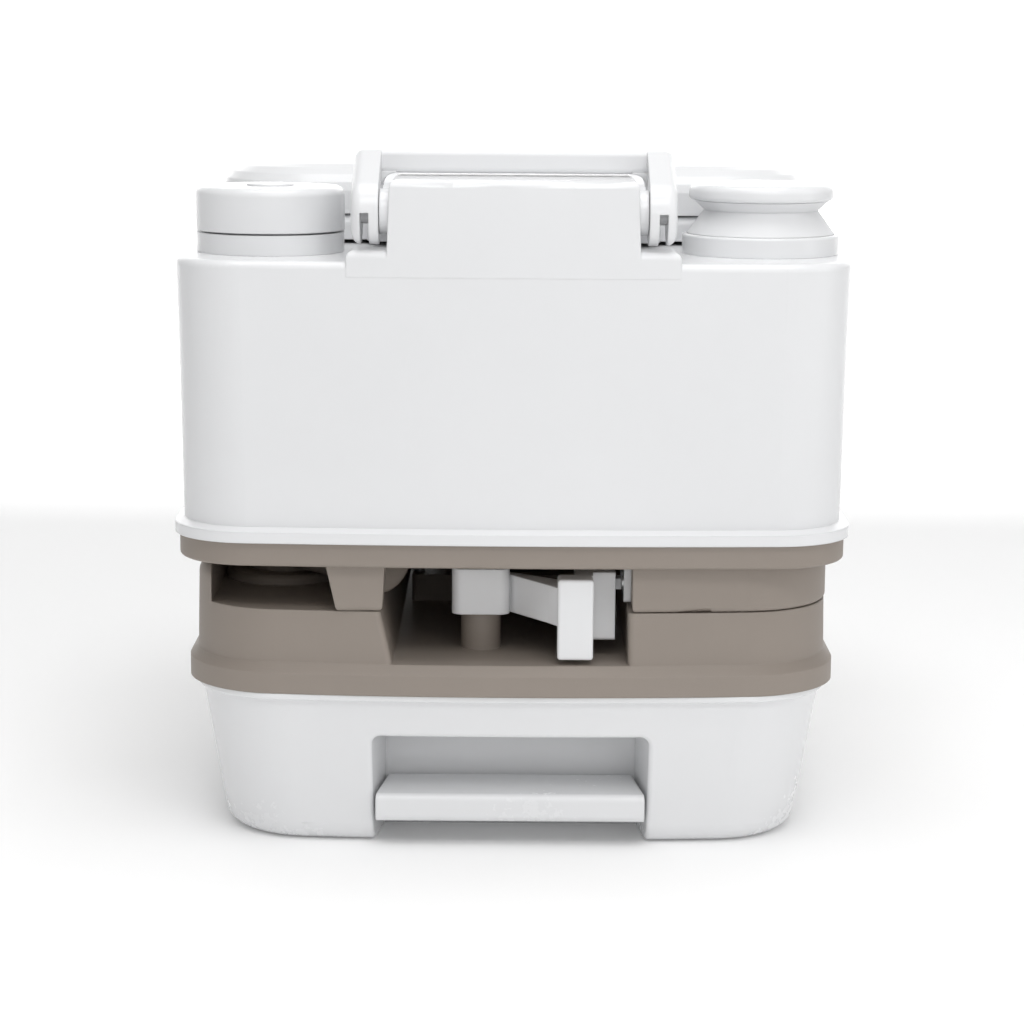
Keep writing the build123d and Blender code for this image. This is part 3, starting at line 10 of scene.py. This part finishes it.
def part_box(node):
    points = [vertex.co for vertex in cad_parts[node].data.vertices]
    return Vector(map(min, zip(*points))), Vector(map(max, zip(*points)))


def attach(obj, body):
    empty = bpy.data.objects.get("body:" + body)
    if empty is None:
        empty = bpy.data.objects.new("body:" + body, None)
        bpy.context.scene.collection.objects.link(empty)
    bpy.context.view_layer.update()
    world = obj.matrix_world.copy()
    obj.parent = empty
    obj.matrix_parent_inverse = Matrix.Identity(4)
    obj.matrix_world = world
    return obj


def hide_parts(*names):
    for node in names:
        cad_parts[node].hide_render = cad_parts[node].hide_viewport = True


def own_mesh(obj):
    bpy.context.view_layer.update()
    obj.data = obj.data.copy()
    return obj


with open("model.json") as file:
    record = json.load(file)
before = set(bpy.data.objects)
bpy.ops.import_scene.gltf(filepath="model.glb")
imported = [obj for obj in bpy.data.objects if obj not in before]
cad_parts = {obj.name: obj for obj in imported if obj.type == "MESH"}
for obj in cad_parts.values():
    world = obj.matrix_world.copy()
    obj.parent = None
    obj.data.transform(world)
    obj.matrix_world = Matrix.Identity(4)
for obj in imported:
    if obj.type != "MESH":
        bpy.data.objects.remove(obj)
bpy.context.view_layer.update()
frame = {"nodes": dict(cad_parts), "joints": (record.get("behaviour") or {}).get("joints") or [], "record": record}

bl_info = {
    "name": "Portable Toilet",
    "version": (1, 0, 0),
    "blender": (4, 5, 0),
    "location": "3D View > Sidebar > Toilet",
    "description": "Finishes, fine surfaces and studio for a portable toilet in two tanks",
    "category": "Object",
}

# Finishes: lengths in metres
WHITE_EDGE_RADIUS = 0.0011
TAUPE_EDGE_RADIUS = 0.0013
BEVEL_SAMPLES = 6
EDGE_GAIN = 3.4
DUST_HEIGHT = 0.05
PLASTIC_IOR = 1.49
STEEL_GREY = (0.55, 0.56, 0.57, 1)
FLOOR_SHADES = (0.93, 0.93, 0.93, 1), (0.95, 0.95, 0.95, 1)
FLOOR_GLOW = 0.05

# Roughness that each mask adds where it is full
WHITE_ROUGHNESS = {"clouds": 0.06, "specks": 0.05, "edge_wear_and_painted_light": 0.12, "dust": 0.06}
TAUPE_ROUGHNESS = {"pits": 0.10, "clouds": 0.04, "edge_wear_and_painted_light": -0.12}

# Sockets of the Mix node for colours, which share their names with its other sockets
MIX_MASK, MIX_FIRST, MIX_SECOND, MIX_RESULT = 0, 6, 7, 2

# Backdrop, in metres: from the middle to its ends, the curve's radius and the wall's top
FLOOR_REACH = 4.0
CURVE_RADIUS = 1.2
CURVE_POINTS = 25
WALL_TOP = 3.0
BACKDROP_HALF_WIDTH = 5.0
BACKDROP_COLUMNS = 3

# Lights: place, aim, width and height in metres, and power as a share of the key setting
PART_MIDDLE = (0, 0, 0.2)
LIGHTS = {
    "key_light": ((0.7, -2.2, 1.9), PART_MIDDLE, 2.2, 1.4, 0.46),
    "low_light": ((0.3, -1.5, 0.55), (0, 0, 0.12), 1.0, 0.2, 0.12),
    "upper_light": ((0.1, -0.85, 0.95), (0, -0.2, 0.37), 0.7, 0.25, 0.17),
    "left_light": ((-2.4, -0.5, 0.9), PART_MIDDLE, 1.2, 1.8, 0.07),
    "right_light": ((2.4, -0.8, 0.9), PART_MIDDLE, 1.2, 1.8, 0.55),
    "top_light": ((0, -0.3, 2.3), PART_MIDDLE, 1.6, 1.6, 1.9),
    "backdrop_light": ((0, 1.4, 1.9), (0, 4.2, 1.0), 3.2, 0.8, 11),
}
WORLD_STRENGTH = 0.36

# Camera
SENSOR_WIDTH = 36.0
NEAR_CLIP = 0.05


# Settings

class ToiletFinishes(bpy.types.PropertyGroup):
    """Colours and textures of the moulded plastics."""

    white: FloatVectorProperty(
        name="White plastic", description="Colour of the white mouldings", subtype="COLOR",
        size=4, min=0, max=1, default=(0.80, 0.805, 0.815, 1),
    )
    taupe: FloatVectorProperty(
        name="Taupe plastic", description="Colour of the taupe mouldings", subtype="COLOR",
        size=4, min=0, max=1, default=(0.292, 0.252, 0.218, 1),
    )
    rubber: FloatVectorProperty(
        name="Rubber", description="Colour of the seals", subtype="COLOR",
        size=4, min=0, max=1, default=(0.022, 0.022, 0.024, 1),
    )
    grain: FloatProperty(
        name="Grain", description="Width of one grain of the taupe plastic's etched texture",
        subtype="DISTANCE", min=0.0001, max=0.01, default=0.0008,
    )
    gloss: FloatProperty(
        name="White roughness", description="Mean roughness of the white plastic",
        subtype="FACTOR", min=0, max=1, default=0.24,
    )


class ToiletStudio(bpy.types.PropertyGroup):
    """Camera and lights."""

    distance: FloatProperty(
        name="Camera distance", description="From the camera to the middle of the floor plan",
        subtype="DISTANCE", unit="LENGTH", min=0.5, max=10, default=1.6205,
    )
    height: FloatProperty(
        name="Camera height", description="Height of the camera above the floor",
        subtype="DISTANCE", unit="LENGTH", min=0, max=5, default=0.438,
    )
    pitch: FloatProperty(
        name="Camera pitch", description="How far the camera looks down",
        subtype="ANGLE", unit="ROTATION", min=-1.5, max=1.5, default=math.radians(10.0),
    )
    roll: FloatProperty(
        name="Camera roll", description="Turn of the camera about its line of sight",
        subtype="ANGLE", unit="ROTATION", min=-0.5, max=0.5, default=math.radians(0.4),
    )
    lens: FloatProperty(
        name="Lens", description="Focal length on a sensor 36 mm wide, in millimetres",
        min=20, max=300, default=94.57,
    )
    key: FloatProperty(
        name="Key light", description="Power, in watts, that every light takes a share of",
        min=0, max=500, default=13,
    )


# Shader building

class Value:
    """A shader socket that takes part in sums and products."""

    def __init__(self, shader, socket):
        self.shader = shader
        self.socket = socket

    def _math(self, operation, first, second):
        return self.shader.add("ShaderNodeMath", {"operation": operation}, {0: first, 1: second})

    def __add__(self, other):
        return self._math("ADD", self, other)

    __radd__ = __add__

    def __rsub__(self, other):
        return self._math("SUBTRACT", other, self)

    def __mul__(self, other):
        return self._math("MULTIPLY", self, other)

    def __truediv__(self, other):
        return self._math("DIVIDE", self, other)


class Shader:
    """A material's node tree with one method that adds any node."""

    def __init__(self, name):
        self.material = bpy.data.materials.new(name)
        self.material.use_nodes = True
        self.tree = self.material.node_tree
        self.surface = self.tree.nodes["Principled BSDF"]
        self.surface.name = name + " surface"

    def add(self, kind, settings=None, values=None, out=0):
        """Adds a node, sets it up, feeds its sockets and gives one of its outputs."""
        node = self.tree.nodes.new(kind)
        for key, value in (settings or {}).items():
            setattr(node, key, value)
        for key, value in (values or {}).items():
            self.feed(node.inputs[key], value)
        return Value(self, node.outputs[out])

    def feed(self, socket, value):
        """Links a Value to a socket, or sets the socket to a plain value."""
        if isinstance(value, Value):
            self.tree.links.new(value.socket, socket)
        else:
            socket.default_value = value

    def set(self, **sockets):
        """Feeds sockets of the surface shader, with underscores for spaces."""
        for key, value in sockets.items():
            self.feed(self.surface.inputs[key.replace("_", " ")], value)

    def place(self, scale=(1, 1, 1)):
        """Object coordinates, stretched."""
        point = self.add("ShaderNodeTexCoord", out="Object")
        return self.add("ShaderNodeMapping", None, {"Vector": point, "Scale": scale})

    def noise(self, point, width, detail, rough=0.5):
        """Cloudy noise from 0 to 1 with patches about as wide as width, in metres."""
        return self.add(
            "ShaderNodeTexNoise", None,
            {"Vector": point, "Scale": 1.0 / width, "Detail": detail, "Roughness": rough},
        )

    def blend(self, mask, first, second):
        """Mixes two colours by a mask."""
        return self.add(
            "ShaderNodeMix", {"data_type": "RGBA"},
            {MIX_MASK: mask, MIX_FIRST: first, MIX_SECOND: second}, out=MIX_RESULT,
        )

    def limit(self, value):
        """Keeps a value between 0 and 1."""
        return self.add("ShaderNodeClamp", None, {0: value})

    def rounding(self, radius):
        """A normal that rounds sharp edges, and a mask from 0 on flats to 1 on such edges."""
        soft = self.add("ShaderNodeBevel", {"samples": BEVEL_SAMPLES}, {"Radius": radius})
        true = self.add("ShaderNodeNewGeometry", out="Normal")
        along = self.add(
            "ShaderNodeVectorMath", {"operation": "DOT_PRODUCT"}, {0: soft, 1: true}, out="Value",
        )
        return soft, self.limit((1.0 - along) * EDGE_GAIN)

    def near_floor(self, point, reach):
        """A mask that is 1 on the floor and falls to 0 at a height, in metres."""
        height = self.add("ShaderNodeSeparateXYZ", None, {0: point}, out="Z")
        return self.limit(1.0 - height / reach)

    def bump(self, height, depth, strength, normal=None):
        """A normal from a height of 0 to 1 that stands for a depth in metres."""
        values = {"Strength": strength, "Distance": depth, "Height": height}
        if normal is not None:
            values["Normal"] = normal
        return self.add("ShaderNodeBump", None, values)


def tint(colour, factor):
    """A colour made lighter or darker, kept below full white."""
    return tuple(min(channel * factor, 0.95) for channel in colour[:3]) + (1.0,)


def layered(base, amounts, masks):
    """A base value plus each mask times the amount of its name."""
    for name, amount in amounts.items():
        base = base + masks[name] * amount
    return base


def glossy_white(name, colour, gloss):
    """Moulded white plastic: flow clouds, a fine orange peel, edges darkened in upright streaks as a painted
    reflection and also made rougher, and dust low down.
    """
    shader = Shader(name)
    point = shader.place()
    soft, edge = shader.rounding(WHITE_EDGE_RADIUS)
    clouds = shader.noise(point, width=0.12, detail=2.0)
    specks = shader.noise(point, width=0.0045, detail=4.0, rough=0.6)
    peel = shader.noise(point, width=0.0016, detail=2.0)
    waves = shader.noise(point, width=0.03, detail=1.0)
    upright_streaks = shader.place((1, 1, 0.12))
    # Edge mask in upright streaks: a painted darker reflection on the corners, which also roughens them
    edge_wear_and_painted_light = edge * shader.noise(upright_streaks, width=0.0022, detail=3.0, rough=0.7)
    dust = shader.near_floor(point, DUST_HEIGHT) * clouds
    shade = shader.blend(clouds, tint(colour, 0.975), tint(colour, 1.02))
    shade = shader.blend(dust * 0.08, shade, tint(colour, 0.7))
    # Painted reflection: the edges are darkened in upright streaks
    shade = shader.blend(edge_wear_and_painted_light * 0.25, shade, tint(colour, 0.88))
    masks = {"clouds": clouds, "specks": specks, "edge_wear_and_painted_light": edge_wear_and_painted_light, "dust": dust}
    shader.set(
        Base_Color=shade,
        Roughness=layered(gloss - 0.05, WHITE_ROUGHNESS, masks),
        Normal=shader.bump(peel * 0.7 + waves * 0.3, depth=0.00003, strength=0.5, normal=soft),
        IOR=PLASTIC_IOR,
    )
    return shader.material


def grained_taupe(name, colour, grain):
    """Taupe plastic with an etched grain, whose edges are made paler by a painted highlight and are smoother."""
    shader = Shader(name)
    point = shader.place()
    soft, edge = shader.rounding(TAUPE_EDGE_RADIUS)
    pits = shader.noise(point, width=grain, detail=5.0, rough=0.65)
    clouds = shader.noise(point, width=0.09, detail=3.0)
    # Edge mask: a painted highlight that makes the edges paler, and polish that makes them smoother
    edge_wear_and_painted_light = edge * shader.noise(point, width=0.006, detail=4.0, rough=0.65)
    shade = shader.blend(clouds * 0.6 + pits * 0.4, tint(colour, 0.93), tint(colour, 1.07))
    # Painted highlight: the edges are made paler
    shade = shader.blend(shader.limit(edge_wear_and_painted_light * 1.1), shade, tint(colour, 1.32))
    shader.set(
        Base_Color=shade,
        Roughness=layered(0.47, TAUPE_ROUGHNESS, {"pits": pits, "clouds": clouds, "edge_wear_and_painted_light": edge_wear_and_painted_light}),
        Normal=shader.bump(pits, depth=0.00012, strength=0.6, normal=soft),
    )
    return shader.material


def dull_rubber(name, colour):
    """Soft rubber with a dusty bloom."""
    shader = Shader(name)
    point = shader.place()
    bloom = shader.noise(point, width=0.01, detail=5.0, rough=0.7)
    pores = shader.noise(point, width=0.0006, detail=2.0)
    shader.set(
        Base_Color=shader.blend(bloom, tint(colour, 0.9), tint(colour, 1.4)),
        Roughness=0.62 + bloom * 0.2,
        Normal=shader.bump(pores, depth=0.00005, strength=0.5),
    )
    return shader.material


def brushed_steel(name):
    """Drawn steel with fine lines along Z."""
    shader = Shader(name)
    lines = shader.noise(shader.place((1, 1, 0.05)), width=0.0004, detail=3.0, rough=0.6)
    shader.set(
        Base_Color=shader.blend(lines, tint(STEEL_GREY, 0.85), tint(STEEL_GREY, 1.1)),
        Metallic=1.0,
        Roughness=0.24 + lines * 0.2,
    )
    return shader.material


def studio_floor(name):
    """Matt pale floor with a hint of unevenness."""
    shader = Shader(name)
    patches = shader.noise(shader.place(), width=0.35, detail=3.0)
    shader.set(
        Base_Color=shader.blend(patches, *FLOOR_SHADES),
        Roughness=0.85,
        Emission_Color=(1, 1, 1, 1),
        Emission_Strength=FLOOR_GLOW,
    )
    return shader.material


# Operators

def settings():
    """The settings of the finishes and of the studio."""
    return bpy.context.scene.toilet_finishes, bpy.context.scene.toilet_studio


def paint(names, material):
    """Gives CAD nodes one material."""
    for name in names:
        mesh_object = frame["nodes"][name]
        mesh_object.data.materials.clear()
        mesh_object.data.materials.append(material)


def names_with_slot(slot):
    """The nodes whose record names a material slot."""
    return [part["node"] for part in frame["record"]["subparts"] if part["material_slot"] == slot]


class TOILET_OT_finishes(bpy.types.Operator):
    """Paint every moulding, seal and screw with its finish"""

    bl_idname = "toilet.finishes"
    bl_label = "Finishes"

    def execute(self, context):
        look, _ = settings()
        soft_white = tint(look.white, 0.98)
        finishes = {
            "white_plastic": glossy_white("white_plastic_moulded", look.white, look.gloss),
            "taupe_plastic": grained_taupe("taupe_plastic_moulded", look.taupe, look.grain),
            "black_rubber": dull_rubber("seal_rubber", look.rubber),
            "white_rubber": glossy_white("white_rubber_soft", soft_white, look.gloss + 0.2),
            "steel": brushed_steel("drawn_steel"),
        }
        for slot, material in finishes.items():
            paint(names_with_slot(slot), material)
        return {"FINISHED"}


def pushed_copy(name, node):
    """Copies a painted CAD node that the pump head presses down, fixes the copy to the flush tank and hides the
    node.

    It works out the share of its height to keep, one less the head's travel over the height, but does not squash
    the copy."""
    source = frame["nodes"][node]
    made = bpy.data.objects.new(name, source.data.copy())
    bpy.context.scene.collection.objects.link(made)
    low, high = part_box(node)
    push = next(joint for joint in frame["joints"] if joint["name"] == "pump_push")
    travel = push["range_m"][1]
    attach(made, "flush_tank")
    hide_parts(node)
    keep = 1.0 - travel / (high[2] - low[2])
    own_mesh(made)


class TOILET_OT_pump(bpy.types.Operator):
    """Copy the pump's bellows and spring in place of their CAD nodes"""

    bl_idname = "toilet.pump"
    bl_label = "Pump bellows and spring"

    def execute(self, context):
        pushed_copy("bellows_sleeve", "pump_bellows")
        pushed_copy("return_spring", "pump_spring")
        return {"FINISHED"}


def area_light(name, place, aim, width, height, power):
    """A soft rectangular light that points at a place."""
    data = bpy.data.lights.new(name, "AREA")
    data.shape = "RECTANGLE"
    data.size = width
    data.size_y = height
    data.energy = power
    lamp = bpy.data.objects.new(name, data)
    lamp.location = place
    lamp.rotation_euler = (Vector(aim) - Vector(place)).to_track_quat("-Z", "Y").to_euler()
    bpy.context.scene.collection.objects.link(lamp)


def backdrop_surface():
    """A floor that curves up into a wall behind: straight, a quarter turn, straight, along X."""
    turn = np.linspace(0, np.pi / 2, CURVE_POINTS)
    curve_y = FLOOR_REACH - CURVE_RADIUS + CURVE_RADIUS * np.sin(turn)
    curve_z = CURVE_RADIUS - CURVE_RADIUS * np.cos(turn)
    y = np.concatenate([[-FLOOR_REACH], curve_y, [FLOOR_REACH]])
    z = np.concatenate([[0.0], curve_z, [WALL_TOP]])
    x = np.linspace(-BACKDROP_HALF_WIDTH, BACKDROP_HALF_WIDTH, BACKDROP_COLUMNS)
    grid_x, grid_y = np.meshgrid(x, y, indexing="ij")
    return np.stack([grid_x, grid_y, np.broadcast_to(z, grid_y.shape)], axis=-1)


def grid_mesh(name, points):
    """Joins a grid of points into four-sided faces."""
    rows, columns = points.shape[:2]
    index = np.arange(rows * columns).reshape(rows, columns)
    corners = [index[:-1, :-1], index[1:, :-1], index[1:, 1:], index[:-1, 1:]]
    quads = np.stack(corners, axis=-1)
    mesh = bpy.data.meshes.new(name)
    mesh.from_pydata(points.reshape(-1, 3).tolist(), [], quads.reshape(-1, 4).tolist())
    mesh.polygons.foreach_set("use_smooth", np.ones(len(mesh.polygons), dtype=bool))
    mesh.update()
    return mesh


def add_object(name, mesh, material):
    """Links a mesh at the origin."""
    made = bpy.data.objects.new(name, mesh)
    mesh.materials.append(material)
    bpy.context.scene.collection.objects.link(made)
    return made


class TOILET_OT_stage(bpy.types.Operator):
    """Build the pale floor, the soft lights and the camera"""

    bl_idname = "toilet.stage"
    bl_label = "Studio"

    def execute(self, context):
        _, studio = settings()
        scene = context.scene
        backdrop = grid_mesh("studio_floor", backdrop_surface())
        floor = add_object("studio_floor", backdrop, studio_floor("studio_floor"))
        world = scene.world or bpy.data.worlds.new("studio")
        scene.world = world
        world.use_nodes = True
        sky = world.node_tree.nodes["Background"]
        sky.inputs["Color"].default_value = (1, 1, 1, 1)
        sky.inputs["Strength"].default_value = WORLD_STRENGTH
        for name, (place, aim, width, height, share) in LIGHTS.items():
            area_light(name, place, aim, width, height, studio.key * share)

        data = bpy.data.cameras.new("photo_camera")
        data.sensor_width = SENSOR_WIDTH
        data.lens = studio.lens
        data.clip_start = NEAR_CLIP
        camera = bpy.data.objects.new("photo_camera", data)
        tilt = Matrix.Rotation(math.pi / 2 - studio.pitch, 4, "X")
        stand = Matrix.Translation((0, -studio.distance, studio.height))
        camera.matrix_world = stand @ tilt @ Matrix.Rotation(studio.roll, 4, "Z")
        scene.collection.objects.link(camera)
        scene.camera = camera
        scene.view_settings.view_transform = "Standard"
        return {"FINISHED"}


class TOILET_PT_panel(bpy.types.Panel):
    """Shows the settings and the operators"""

    bl_label = "Portable toilet"
    bl_idname = "TOILET_PT_panel"
    bl_space_type = "VIEW_3D"
    bl_region_type = "UI"
    bl_category = "Toilet"

    def draw(self, context):
        for group in settings():
            box = self.layout.box()
            for key in group.bl_rna.properties.keys():
                if key not in ("rna_type", "name"):
                    box.prop(group, key)
        for operator in OPERATORS:
            self.layout.operator(operator.bl_idname)


OPERATORS = (TOILET_OT_finishes, TOILET_OT_pump, TOILET_OT_stage)
CLASSES = (ToiletFinishes, ToiletStudio) + OPERATORS + (TOILET_PT_panel,)


def register():
    for item in CLASSES:
        bpy.utils.register_class(item)
    bpy.types.Scene.toilet_finishes = PointerProperty(type=ToiletFinishes)
    bpy.types.Scene.toilet_studio = PointerProperty(type=ToiletStudio)


def unregister():
    del bpy.types.Scene.toilet_studio
    del bpy.types.Scene.toilet_finishes
    for item in reversed(CLASSES):
        bpy.utils.unregister_class(item)


def main():
    register()
    for operator in OPERATORS:
        group, name = operator.bl_idname.split(".")
        getattr(getattr(bpy.ops, group), name)()


if __name__ == "__main__":
    main()
